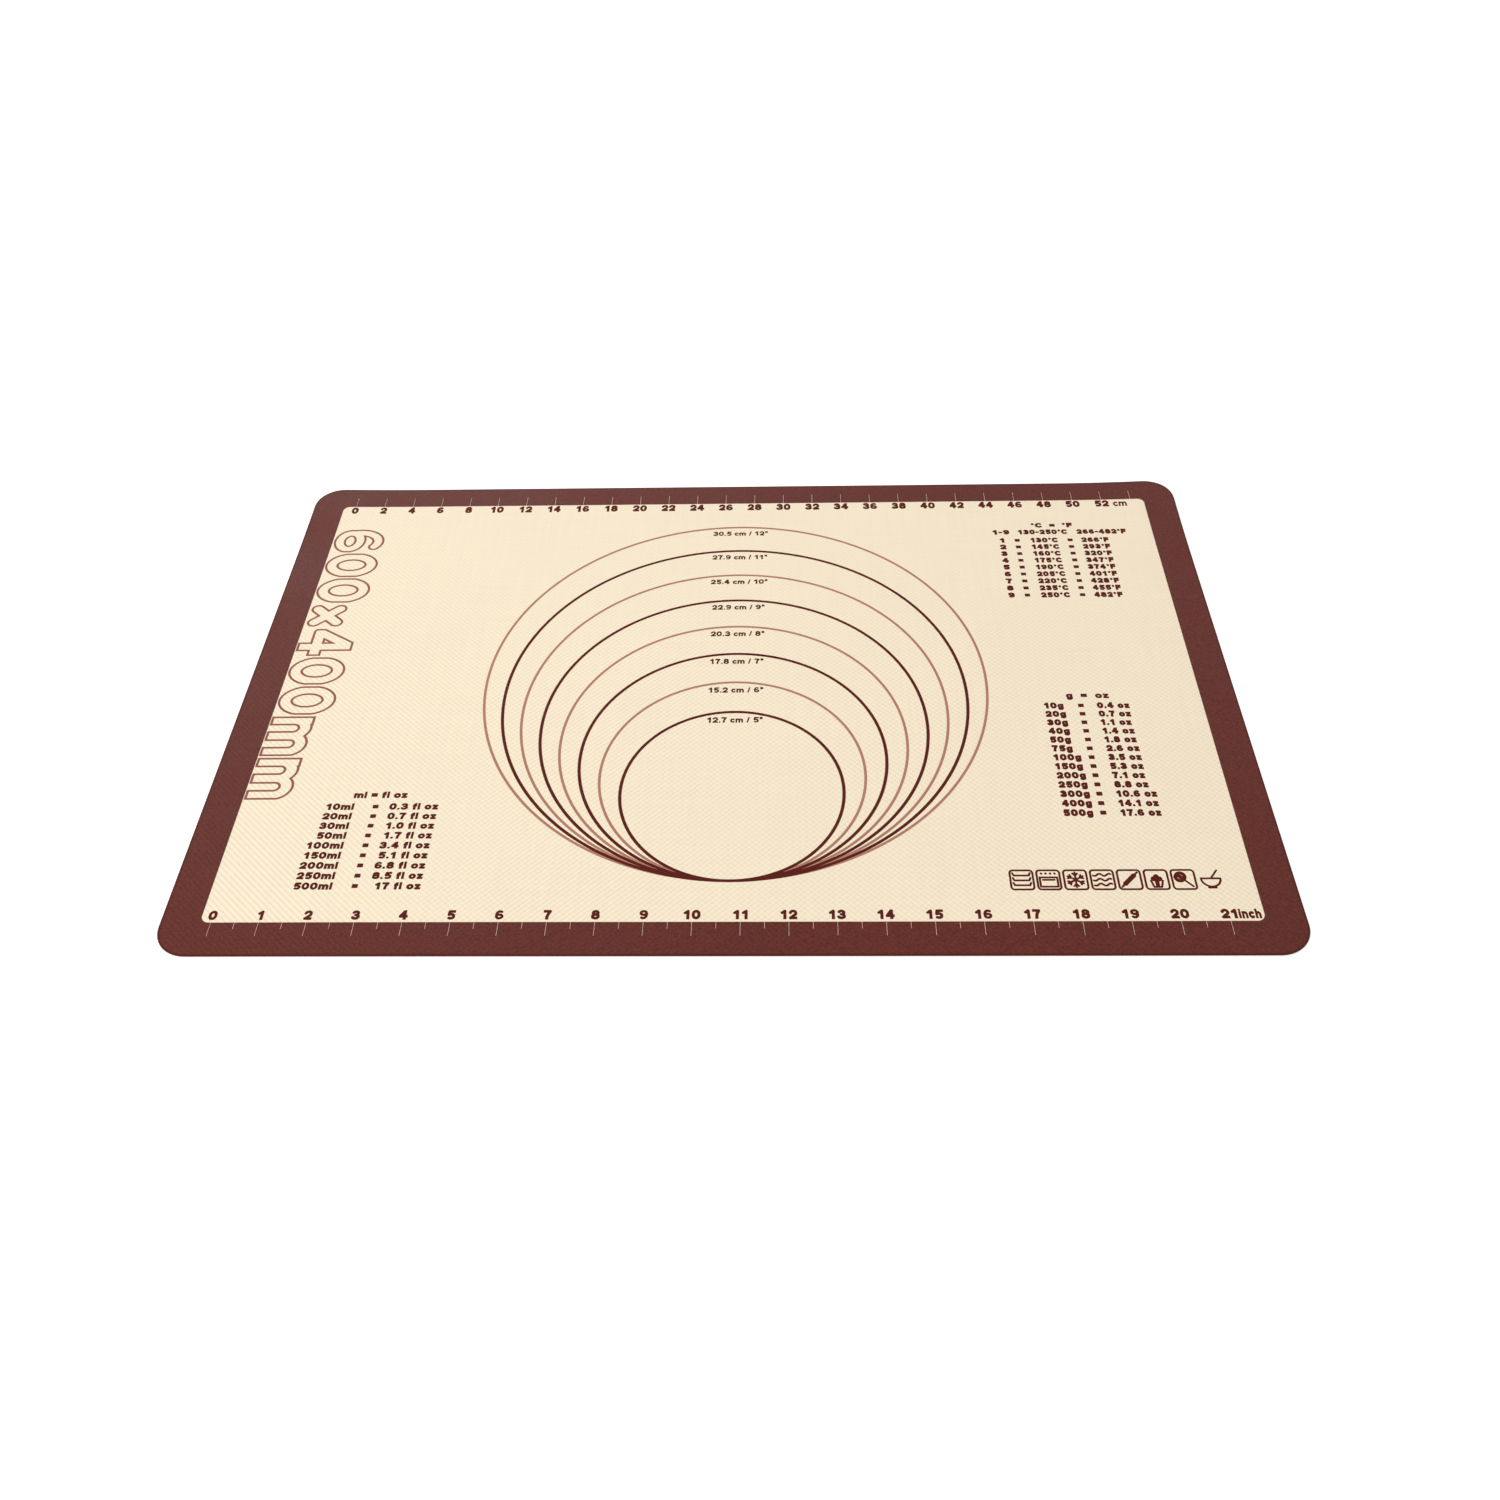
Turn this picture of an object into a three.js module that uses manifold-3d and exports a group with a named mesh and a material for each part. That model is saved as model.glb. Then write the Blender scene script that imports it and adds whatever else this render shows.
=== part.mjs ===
// Silicone baking mat: a coated glass cloth with a printed border, two rulers and round size guides.
// Millimetres. It lies flat: +X along the length, +Y to the back edge, +Z up, underside at z = 0.

import * as THREE from 'three';
import { mergeVertices } from 'three/addons/utils/BufferGeometryUtils.js';
import Module from 'manifold-3d';

// Outline: the whole mat, the bead that seals its cut edge and the brown border
const MAT_LENGTH = 600;
const MAT_WIDTH = 400;
const CORNER_RADIUS = 19;
const SEAL_WIDTH = 1.2;
const BORDER_WIDTH = 21.3;
const BACK_BORDER_WIDTH = 19.9;
const FIELD_RADIUS = 4.5;

// Layers, from the table upwards
const UNDER_COAT = 0.2;
const GLASS_CLOTH = 0.2;
const TOP_COAT = 0.25;
const BORDER_PRINT = 0.08;
const RING_PRINT = 0.05;

// Inch ruler along the front: its zero is set in from the field's left edge, its end leaves room for the unit
const INCH = 25.4;
const INCH_START = 5.8;
const INCH_END_ROOM = 15;
const INCH_TICK = 8.8;
const HALF_INCH_TICK = 4.3;

// Centimetre ruler along the back, with a tick at every second centimetre
const CM_STEP = 20;
const CM_START = 8.4;
const CM_TICK = 9.5;

// Width of the gaps in the border print that make the ticks
const TICK_WIDTH = 0.2;

// Size guides: rings that grow by an inch, all touching at one point, in dark and light lines by turns
const SMALLEST_RING_DIAMETER = 127;
const RING_STEP = 25.4;
const RING_MARGIN = 20;
const DARK_LINE = 1.9;
const LIGHT_LINE = 1.6;
const RING_GAP = 0.3;
const RING_TIP = 0.4;

// Facets: steps in a corner's quarter turn, in the bead's round nose and in a full ring
const CORNER_STEPS = 12;
const NOSE_STEPS = 8;
const RING_STEPS = 112;

// Derived sizes and heights
const FIELD_LENGTH = MAT_LENGTH - 2 * BORDER_WIDTH;
const FIELD_WIDTH = MAT_WIDTH - BORDER_WIDTH - BACK_BORDER_WIDTH;
const FIELD_Y = (BORDER_WIDTH - BACK_BORDER_WIDTH) / 2;
const CLOTH_Z = UNDER_COAT;
const TOP_COAT_Z = CLOTH_Z + GLASS_CLOTH;
const PRINT_Z = TOP_COAT_Z + TOP_COAT;
const MAT_THICKNESS = PRINT_Z + BORDER_PRINT;
const LAST_RING = Math.floor((FIELD_WIDTH - 2 * RING_MARGIN - SMALLEST_RING_DIAMETER) / RING_STEP);
const TOUCH_Y = FIELD_Y - ringDiameter(LAST_RING) / 2;
const CUT_HEIGHT = 2 * RING_PRINT;

const wasm = await Module();
wasm.setup();

const mat = new THREE.Group();

function addPart(name, geometry, z, color, roughness) {
  const material = new THREE.MeshStandardMaterial({ color, roughness, metalness: 0 });
  const mesh = new THREE.Mesh(geometry, material);
  mesh.name = name;
  mesh.position.z = z;
  mat.add(mesh);
}

function slab(shape, thickness, steps) {
  // Half the steps, because an arc takes two of them for each curve segment
  const options = { depth: thickness, bevelEnabled: false, curveSegments: steps / 2 };
  return new THREE.ExtrudeGeometry(shape, options);
}

function toSolid(geometry) {
  const bare = geometry.clone();
  bare.deleteAttribute('normal');
  bare.deleteAttribute('uv');
  const merged = mergeVertices(bare);
  const vertProperties = new Float32Array(merged.attributes.position.array);
  const triVerts = new Uint32Array(merged.index.array);
  return new wasm.Manifold(new wasm.Mesh({ numProp: 3, vertProperties, triVerts }));
}

function toGeometry(solid) {
  const { vertProperties, triVerts } = solid.getMesh();
  const geometry = new THREE.BufferGeometry();
  geometry.setAttribute('position', new THREE.BufferAttribute(vertProperties, 3));
  geometry.setIndex(new THREE.BufferAttribute(triVerts, 1));
  geometry.computeVertexNormals();
  return geometry;
}

// Rounded rectangle centred on the Y axis, run anticlockwise, with any ruler ticks on its back and front
function roundedRectangle(path, length, width, radius, centreY = 0, backTicks = [], frontTicks = []) {
  const x = length / 2 - radius;
  const back = centreY + width / 2;
  const front = centreY - width / 2;
  const quarter = Math.PI / 2;
  path.absarc(x, back - radius, radius, 0, quarter, false);
  addTicks(path, backTicks.toReversed(), back, 1);
  path.absarc(-x, back - radius, radius, quarter, 2 * quarter, false);
  path.absarc(-x, front + radius, radius, 2 * quarter, 3 * quarter, false);
  addTicks(path, frontTicks, front, -1);
  path.absarc(x, front + radius, radius, 3 * quarter, 4 * quarter, false);
  path.closePath();
  return path;
}

// Square notches along a side at height y that reach outwards, towards +Y or -Y, met in the path's own order
function addTicks(path, ticks, y, outwards) {
  const half = -outwards * TICK_WIDTH / 2;
  for (const tick of ticks) {
    const tip = y + outwards * tick.length;
    path.lineTo(tick.x - half, y);
    path.lineTo(tick.x - half, tip);
    path.lineTo(tick.x + half, tip);
    path.lineTo(tick.x + half, y);
  }
}

function matOutline(inset) {
  const length = MAT_LENGTH - 2 * inset;
  const width = MAT_WIDTH - 2 * inset;
  return roundedRectangle(new THREE.Shape(), length, width, CORNER_RADIUS - inset);
}

function inchTicks() {
  const halves = 2 * Math.floor((FIELD_LENGTH - INCH_START - INCH_END_ROOM) / INCH);
  const ticks = [];
  for (let i = 0; i <= halves; i += 1) {
    const length = i % 2 === 0 ? INCH_TICK : HALF_INCH_TICK;
    ticks.push({ x: -FIELD_LENGTH / 2 + INCH_START + i * INCH / 2, length });
  }
  return ticks;
}

function centimetreTicks() {
  const steps = Math.floor((FIELD_LENGTH - 2 * CM_START) / CM_STEP);
  const ticks = [];
  for (let i = 0; i <= steps; i += 1) {
    ticks.push({ x: -FIELD_LENGTH / 2 + CM_START + i * CM_STEP, length: CM_TICK });
  }
  return ticks;
}

// Border print: a frame from the edge seal in to the field, with the ruler ticks left open in it
function borderPrint() {
  const frame = matOutline(SEAL_WIDTH);
  const field = roundedRectangle(
    new THREE.Path(), FIELD_LENGTH, FIELD_WIDTH, FIELD_RADIUS, FIELD_Y, centimetreTicks(), inchTicks());
  frame.holes.push(field);
  return slab(frame, BORDER_PRINT, CORNER_STEPS);
}

// Edge seal: a bead with a half-round nose, swept round the outline against the layers' cut edge
function edgeSeal() {
  const nose = MAT_THICKNESS / 2;
  const profile = [{ inset: SEAL_WIDTH, z: 0 }];
  for (let i = 0; i <= NOSE_STEPS; i += 1) {
    const angle = Math.PI * (i / NOSE_STEPS - 0.5);
    profile.push({ inset: nose - nose * Math.cos(angle), z: nose + nose * Math.sin(angle) });
  }
  profile.push({ inset: SEAL_WIDTH, z: MAT_THICKNESS });

  const loops = profile.map(({ inset }) => matOutline(inset).extractPoints(CORNER_STEPS / 2).shape);
  const count = loops[0].length - 1;
  const positions = [];
  loops.forEach((loop, i) => {
    loop.slice(0, count).forEach((point) => positions.push(point.x, point.y, profile[i].z));
  });
  const faces = [];
  for (let i = 0; i < profile.length; i += 1) {
    const here = i * count;
    const above = ((i + 1) % profile.length) * count;
    for (let j = 0; j < count; j += 1) {
      const next = (j + 1) % count;
      faces.push(here + j, here + next, above + next);
      faces.push(here + j, above + next, above + j);
    }
  }
  const geometry = new THREE.BufferGeometry();
  geometry.setAttribute('position', new THREE.Float32BufferAttribute(positions, 3));
  geometry.setIndex(faces);
  geometry.computeVertexNormals();
  return geometry;
}

function ringDiameter(index) {
  return SMALLEST_RING_DIAMETER + index * RING_STEP;
}

function ringSizes(index) {
  const radius = ringDiameter(index) / 2;
  const dark = index % 2 === 0;
  const line = dark ? DARK_LINE : LIGHT_LINE;
  return { radius, line, dark, y: TOUCH_Y + radius, inner: radius - line / 2, outer: radius + line / 2 };
}

function disc(radius, y) {
  return new THREE.Shape().absarc(0, y, radius, 0, 2 * Math.PI, false);
}

function discCutter({ radius, y }) {
  const cutter = slab(disc(radius, y), CUT_HEIGHT, RING_STEPS);
  cutter.translate(0, 0, (RING_PRINT - CUT_HEIGHT) / 2);
  return toSolid(cutter);
}

// Half the stretch, from the touching point, along which a line between two circles is thinner than its tip
function thinHalf(inside, outside) {
  const rise = RING_TIP + (outside.y - outside.radius) - (inside.y - inside.radius);
  return Math.sqrt(2 * rise / (1 / inside.radius - 1 / outside.radius));
}

// Printed ring: a dark line runs out into the next smaller dark one, a light line between its dark neighbours
function ringPrint(index) {
  const ring = ringSizes(index);
  const shape = disc(ring.outer, ring.y);
  shape.holes.push(disc(ring.inner, ring.y));
  const whole = slab(shape, RING_PRINT, RING_STEPS);
  if (index === 0) {
    return whole;
  }
  const smaller = ringSizes(ring.dark ? index - 2 : index - 1);
  const inside = { radius: smaller.outer + RING_GAP, y: smaller.y };
  let outside = { radius: ring.outer, y: ring.y };
  if (!ring.dark && index < LAST_RING) {
    const larger = ringSizes(index + 1);
    outside = { radius: larger.inner - RING_GAP, y: larger.y };
  }
  const root = new THREE.BoxGeometry(2 * thinHalf(inside, outside), ring.radius, CUT_HEIGHT);
  root.translate(0, TOUCH_Y, RING_PRINT / 2);
  const parted = toSolid(whole).intersect(discCutter(outside)).subtract(discCutter(inside));
  return toGeometry(parted.subtract(toSolid(root)));
}

addPart('under_coat', slab(matOutline(SEAL_WIDTH), UNDER_COAT, CORNER_STEPS), 0, '#efe0c4', 0.75);
addPart('glass_cloth', slab(matOutline(SEAL_WIDTH), GLASS_CLOTH, CORNER_STEPS), CLOTH_Z, '#e6dcc6', 0.85);
addPart('top_coat', slab(matOutline(SEAL_WIDTH), TOP_COAT, CORNER_STEPS), TOP_COAT_Z, '#f8e9cf', 0.6);
addPart('border_print', borderPrint(), PRINT_Z, '#6b3a34', 0.55);
addPart('edge_seal', edgeSeal(), 0, '#5f302b', 0.55);

for (let index = 0; index <= LAST_RING; index += 1) {
  const ink = ringSizes(index).dark ? '#55231c' : '#ad7163';
  addPart(`ring_${index + 1}`, ringPrint(index), PRINT_Z, ink, 0.6);
}

export default mat;
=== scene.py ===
# Printed silicone baking mat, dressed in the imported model's own frame.
# Objects are in metres, as the frame is; plans and layouts below are in millimetres, seen from above.

import functools
import math

import bpy
import numpy as np
from mathutils import Matrix, Vector
from mathutils.geometry import tessellate_polygon


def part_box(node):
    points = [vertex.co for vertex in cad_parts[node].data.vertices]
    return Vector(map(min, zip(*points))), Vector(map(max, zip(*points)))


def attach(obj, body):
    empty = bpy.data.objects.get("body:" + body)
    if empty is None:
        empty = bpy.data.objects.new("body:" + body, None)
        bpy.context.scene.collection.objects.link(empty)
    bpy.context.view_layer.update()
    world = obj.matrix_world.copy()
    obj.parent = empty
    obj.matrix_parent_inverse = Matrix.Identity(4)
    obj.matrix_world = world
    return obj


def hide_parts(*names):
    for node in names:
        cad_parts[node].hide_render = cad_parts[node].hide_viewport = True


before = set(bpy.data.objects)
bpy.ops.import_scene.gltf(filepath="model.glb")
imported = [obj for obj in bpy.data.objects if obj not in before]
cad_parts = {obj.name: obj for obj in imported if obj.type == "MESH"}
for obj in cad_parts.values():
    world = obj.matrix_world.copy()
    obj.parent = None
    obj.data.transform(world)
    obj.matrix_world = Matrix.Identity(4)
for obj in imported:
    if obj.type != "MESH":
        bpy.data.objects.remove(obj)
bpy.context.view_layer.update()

MM = 0.001
scene = bpy.context.scene


def layer(node):
    """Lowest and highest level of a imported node, in mm."""
    low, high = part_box(node)
    return low.z / MM, high.z / MM


def plan_size(node):
    """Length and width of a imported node, in mm."""
    low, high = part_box(node)
    return (high.x - low.x) / MM, (high.y - low.y) / MM


# Outline: half sizes of the mat, and of its coats and cloth inside the edge seal
MAT_X, MAT_Y = (size / 2 for size in plan_size("edge_seal"))
COAT_X, COAT_Y = (size / 2 for size in plan_size("top_coat"))
SEAL_WIDTH = MAT_X - COAT_X
CORNER_RADIUS = 19
COAT_RADIUS = CORNER_RADIUS - SEAL_WIDTH

# Corners, anticlockwise from the front right: the sides they lie on, and the angle their round starts from
CORNERS = ((1, -1, 270), (1, 1, 0), (-1, 1, 90), (-1, -1, 180))

# Cream field inside the border, as in the solids
SIDE_BORDER = 21.3
FRONT_BORDER = 21.3
BACK_BORDER = 19.9
FIELD_RADIUS = 4.5
FIELD_X = MAT_X - SIDE_BORDER
FIELD_FRONT = FRONT_BORDER - MAT_Y
FIELD_BACK = MAT_Y - BACK_BORDER

# Rulers: their ticks are open gaps in the border, and start at a distance from the field's left edge
INCH = 25.4
INCHES = 21
INCH_START = 5.8
INCH_ZERO = INCH_START - FIELD_X
INCH_TICK = 8.8
HALF_INCH_TICK = 4.3
CM = 10
CM_STEP = 2 * CM
CM_TICKS = 28
CM_START = 8.4
CM_ZERO = CM_START - FIELD_X
CM_TICK = 9.5
TICK_WIDTH = 0.2

# Size guides: rings of 5 to 12 inches across, all touching at one point, whose lines end at a thin tip
SMALLEST_RING = 5
LARGEST_RING = 12
RINGS = LARGEST_RING - SMALLEST_RING + 1
TOUCH_Y = (FRONT_BORDER - BACK_BORDER - LARGEST_RING * INCH) / 2
RING_TIP = 0.02

# Figures and signs stand this far above the coat
INK = 0.04

# Relaxed sheet: a crossed and a slanted swell, in mm to a radian and starts in radians, and curled corners
SWELL = 0.3
CROSSED_X, CROSSED_Y = 88, 71
CROSSED_START_X, CROSSED_START_Y = 0.4, -0.3
SLANTED_X, SLANTED_Y = 131, 97
SLANTED_START = 1.7
LEFT_CURL = 1.4
RIGHT_CURL = 2.0
CURL_REACH = 80

# Steps of the meshes
SHEET_STEP = 5
CORNER_STEPS = 12
SIDE_STEPS = 49
SEAL_CORNER_STEPS = 16
SEAL_SIDE_STEPS = 80
SEAL_LONG_STEPS = 120
NOSE_STEPS = 16
RING_STEPS = 360
RING_SEARCH_POINTS = 7200
ARC_STEP_DEGREES = 12
SHARP_EDGE = math.radians(50)
TINY = 1e-9


def lift(x, y):
    """Height of the relaxed sheet above the table, in mm: it never lies dead flat, and two corners curl."""
    crossed = np.sin(x / CROSSED_X + CROSSED_START_X) * np.cos(y / CROSSED_Y + CROSSED_START_Y)
    slanted = np.sin(x / SLANTED_X - y / SLANTED_Y + SLANTED_START)
    height = SWELL * (0.5 + (crossed + slanted) / 4) ** 2
    for corner_x, curl in ((-MAT_X, LEFT_CURL), (MAT_X, RIGHT_CURL)):
        away = np.hypot(x - corner_x, y - MAT_Y)
        height = height + curl * np.clip(1 - away / CURL_REACH, 0, 1) ** 2
    return height


# Meshes: a plan is an array of points and a list of faces


def smooth_mesh(name, points, faces):
    """A mesh from points in mm, shaded smooth but for its sharp edges."""
    mesh = bpy.data.meshes.new(name)
    mesh.from_pydata((points * MM).tolist(), [], faces)
    mesh.polygons.foreach_set("use_smooth", [True] * len(mesh.polygons))
    mesh.set_sharp_from_angle(angle=SHARP_EDGE)
    mesh.update()
    return mesh


def film(name, plan, levels):
    """Closed thin body over a flat plan: top, underside and a wall along every free edge."""
    points, faces = plan
    low, high = levels
    count = len(points)
    rise = lift(*points.T)
    top = np.c_[points, high + rise]
    under = np.c_[points, low + rise]
    edges = {(a, b) for face in faces for a, b in zip(face, (*face[1:], face[0]))}
    walls = [(b, a, a + count, b + count) for a, b in sorted(edges) if (b, a) not in edges]
    undersides = [tuple(i + count for i in reversed(face)) for face in faces]
    return smooth_mesh(name, np.r_[top, under], [*faces, *undersides, *walls])


def piece(mesh, material, slot, *nodes):
    """Puts a mesh in the scene as a piece of the mat, in place of the nodes named."""
    mesh.materials.append(material)
    thing = bpy.data.objects.new(mesh.name, mesh)
    scene.collection.objects.link(thing)
    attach(thing, "root")
    if nodes:
        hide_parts(*nodes)
    return thing


def layer_piece(name, plan, material, slot, node):
    """A piece of the plan given, at the levels of the node that it replaces."""
    return piece(film(name, plan, layer(node)), material, slot, node)


def arc(x, y, rx, ry, start=0, end=360, steps=None):
    """Points along a circle or ellipse, between two angles in degrees."""
    steps = steps or round(abs(end - start) / ARC_STEP_DEGREES)
    angles = np.radians(np.linspace(start, end, steps + 1))
    return np.c_[x + rx * np.cos(angles), y + ry * np.sin(angles)]


# Coats and cloth


def coat_plan():
    """Points and quads of a coat or the cloth, in rows from front to back that follow the round corners."""
    angles = np.linspace(0, math.pi / 2, CORNER_STEPS + 1)
    straight = COAT_Y - COAT_RADIUS
    corner_y = straight + COAT_RADIUS * np.sin(angles)
    corner_x = COAT_X - COAT_RADIUS + COAT_RADIUS * np.cos(angles)
    side_y = np.linspace(-straight, straight, round(2 * straight / SHEET_STEP) + 1)[1:-1]
    rows_y = np.r_[-corner_y[::-1], side_y, corner_y]
    rows_x = np.r_[corner_x[::-1], np.full(len(side_y), COAT_X), corner_x]
    across = np.linspace(-1, 1, round(2 * COAT_X / SHEET_STEP) + 1)
    columns = len(across)
    points = np.c_[np.outer(rows_x, across).ravel(), np.repeat(rows_y, columns)]
    faces = []
    for row in range(len(rows_y) - 1):
        for column in range(columns - 1):
            a = row * columns + column
            faces.append((a, a + 1, a + columns + 1, a + columns))
    return points, faces


# Border: ribs of points from the field out to the seal, with quads between them

EVEN_ROWS = (0, 0.25, 0.5, 0.75, 1)


def rib(inner, outer, rows=EVEN_ROWS, open_rows=0):
    """A rib's points, and how many of the quads that follow it are left out, counted from the field."""
    inner = np.array(inner)
    return inner + np.outer(rows, np.array(outer) - inner), open_rows


def ruled_ribs(ticks, field_y, seal_y, long_tick, short_tick):
    """Ribs along a ruler: two at each tick's sides, with the gap between them, and one between ticks."""
    depth = abs(seal_y - field_y)
    reach = long_tick / depth
    rows = (0, short_tick / depth, reach, (1 + reach) / 2, 1)
    way = 1 if ticks[0][0] < ticks[-1][0] else -1
    ribs = []
    for i, (x, tick) in enumerate(ticks):
        near = x - way * TICK_WIDTH / 2
        far = x + way * TICK_WIDTH / 2
        ribs.append(rib((near, field_y), (near, seal_y), rows, 2 if tick == long_tick else 1))
        ribs.append(rib((far, field_y), (far, seal_y), rows))
        if i + 1 < len(ticks):
            between = (x + ticks[i + 1][0]) / 2
            ribs.append(rib((between, field_y), (between, seal_y), rows))
    return ribs


def corner_ribs(side_x, side_y, start):
    """Ribs that fan out round a corner."""
    end = start + 90
    field_x = side_x * (FIELD_X - FIELD_RADIUS)
    field_y = (FIELD_BACK if side_y > 0 else FIELD_FRONT) - side_y * FIELD_RADIUS
    inner = arc(field_x, field_y, FIELD_RADIUS, FIELD_RADIUS, start, end, CORNER_STEPS)
    seal_x = side_x * (COAT_X - COAT_RADIUS)
    seal_y = side_y * (COAT_Y - COAT_RADIUS)
    outer = arc(seal_x, seal_y, COAT_RADIUS, COAT_RADIUS, start, end, CORNER_STEPS)
    return [rib(near, far) for near, far in zip(inner, outer)]


def side_ribs(side_x):
    """Ribs along the right side from front to back, or along the left side from back to front."""
    inner = np.linspace(FIELD_FRONT + FIELD_RADIUS, FIELD_BACK - FIELD_RADIUS, SIDE_STEPS + 1)
    outer = np.linspace(COAT_RADIUS - COAT_Y, COAT_Y - COAT_RADIUS, SIDE_STEPS + 1)
    ends = list(zip(inner, outer))[1:-1]
    return [rib((side_x * FIELD_X, near), (side_x * COAT_X, far)) for near, far in ends[::side_x]]


def border_plan():
    """Points and quads of the border, anticlockwise from the front left, with the ticks left open."""
    inches = []
    for i in range(2 * INCHES + 1):
        inches.append((INCH_ZERO + i * INCH / 2, HALF_INCH_TICK if i % 2 else INCH_TICK))
    centimetres = [(CM_ZERO + i * CM_STEP, CM_TICK) for i in range(CM_TICKS)]
    front_right, back_right, back_left, front_left = (corner_ribs(*corner) for corner in CORNERS)
    ribs = [
        *ruled_ribs(inches, FIELD_FRONT, -COAT_Y, INCH_TICK, HALF_INCH_TICK),
        *front_right,
        *side_ribs(1),
        *back_right,
        *ruled_ribs(centimetres[::-1], FIELD_BACK, COAT_Y, CM_TICK, CM_TICK / 2),
        *back_left,
        *side_ribs(-1),
        *front_left,
    ]
    across = len(EVEN_ROWS)
    faces = []
    for i, (_, open_rows) in enumerate(ribs):
        here = i * across
        following = (i + 1) % len(ribs) * across
        for row in range(open_rows, across - 1):
            faces.append((here + row, here + row + 1, following + row + 1, following + row))
    return np.concatenate([points for points, _ in ribs]), faces


# Edge seal


def outline_points(inset):
    """Points at a distance inside the mat's outline, anticlockwise from the front right corner."""
    radius = CORNER_RADIUS - inset
    rounds = []
    for side_x, side_y, start in CORNERS:
        x = side_x * (MAT_X - CORNER_RADIUS)
        y = side_y * (MAT_Y - CORNER_RADIUS)
        rounds.append(arc(x, y, radius, radius, start, start + 90, SEAL_CORNER_STEPS))
    points = []
    for i, corner in enumerate(rounds):
        start = corner[-1]
        end = rounds[(i + 1) % len(rounds)][0]
        steps = SEAL_LONG_STEPS if i % 2 else SEAL_SIDE_STEPS
        points += [*corner, *(start + (end - start) * step / steps for step in range(1, steps))]
    return np.array(points)


def edge_seal_mesh():
    """A bead with a half-round nose, swept round the cut edge."""
    nose = layer("edge_seal")[1] / 2
    turn = np.linspace(-math.pi / 2, math.pi / 2, NOSE_STEPS + 1)
    insets = (SEAL_WIDTH, *(nose - nose * np.cos(turn)), SEAL_WIDTH)
    levels = (0, *(nose + nose * np.sin(turn)), 2 * nose)
    loops = []
    for inset, level in zip(insets, levels):
        loop = outline_points(inset)
        loops.append(np.c_[loop, level + lift(*loop.T)])
    count = len(loops[0])
    faces = []
    for i in range(len(loops)):
        here = i * count
        above = (i + 1) % len(loops) * count
        for j in range(count):
            k = (j + 1) % count
            faces.append((here + j, here + k, above + k, above + j))
    return smooth_mesh("edge_seal_bead", np.concatenate(loops), faces)


# Rings: by turns a dark and a light line, counted from the smallest


def ring_node(index):
    return f"ring_{index + 1}"


def ring_is_light(index):
    return index % 2 == 1


def ring_radius(index):
    return (SMALLEST_RING + index) * INCH / 2


def ring_line(index):
    """Width of a ring's line, as in the solids."""
    return plan_size(ring_node(index))[0] - 2 * ring_radius(index)


def ring_edges(index, angles):
    """Distance of a line's two edges from its ring's middle, for angles counted from the touching point.

    A dark line runs out into the next smaller dark one, a light line between its dark neighbours.
    """
    radius = ring_radius(index)
    inner = np.full(len(angles), radius - ring_line(index) / 2)
    outer = np.full(len(angles), radius + ring_line(index) / 2)

    def edge(other, side):
        """Distance to the outer (1) or inner (-1) side of another ring's line."""
        away = radius - ring_radius(other)
        reach = ring_radius(other) + side * ring_line(other) / 2
        return away * np.cos(angles) + np.sqrt(reach**2 - (away * np.sin(angles)) ** 2)

    light = ring_is_light(index)
    smaller = index - 1 if light else index - 2
    larger = index + 1
    if smaller >= 0:
        inner = np.maximum(inner, edge(smaller, 1))
    if light and larger < RINGS:
        outer = np.minimum(outer, edge(larger, -1))
    return inner, outer


def ring_plan(index):
    """Points and quads of a ring's printed line, from where it comes out between the others."""
    half_turn = np.linspace(0, math.pi, RING_SEARCH_POINTS)
    inner, outer = ring_edges(index, half_turn)
    start = half_turn[np.argmax(outer - inner > RING_TIP)]
    whole = index == 0
    angles = np.linspace(start, 2 * math.pi - start, RING_STEPS + 1)
    if whole:
        angles = angles[:-1]
    inner, outer = ring_edges(index, angles)
    sin, cos = np.sin(angles), np.cos(angles)
    centre = TOUCH_Y + ring_radius(index)
    points = np.r_[np.c_[inner * sin, centre - inner * cos], np.c_[outer * sin, centre - outer * cos]]
    count = len(angles)
    faces = [(i, i + count, i + count + 1, i + 1) for i in range(count - 1)]
    if whole:
        faces.append((count - 1, 2 * count - 1, count, 0))
    return points, faces


# Ink areas: places near a stroke's middle line, found on a grid


def distance_to(strokes, x, y):
    """Distance from every point to the nearest stroke's middle line."""
    nearest = np.full(x.shape, np.inf)
    for stroke in strokes:
        for (ax, ay), (bx, by) in zip(stroke[:-1], stroke[1:]):
            dx, dy = bx - ax, by - ay
            along = ((x - ax) * dx + (y - ay) * dy) / max(dx * dx + dy * dy, TINY)
            along = np.clip(along, 0, 1)
            nearest = np.minimum(nearest, np.hypot(x - ax - along * dx, y - ay - along * dy))
    return nearest


# Which sides of a grid cell a loop enters and leaves by, for each set of corners inside it
CROSSINGS = {
    1: [(0, 3)], 2: [(1, 0)], 3: [(1, 3)], 4: [(2, 1)], 5: [(0, 3), (2, 1)], 6: [(2, 0)], 7: [(2, 3)],
    8: [(3, 2)], 9: [(0, 2)], 10: [(1, 0), (3, 2)], 11: [(1, 2)], 12: [(3, 1)], 13: [(0, 1)], 14: [(3, 0)],
}


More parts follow.
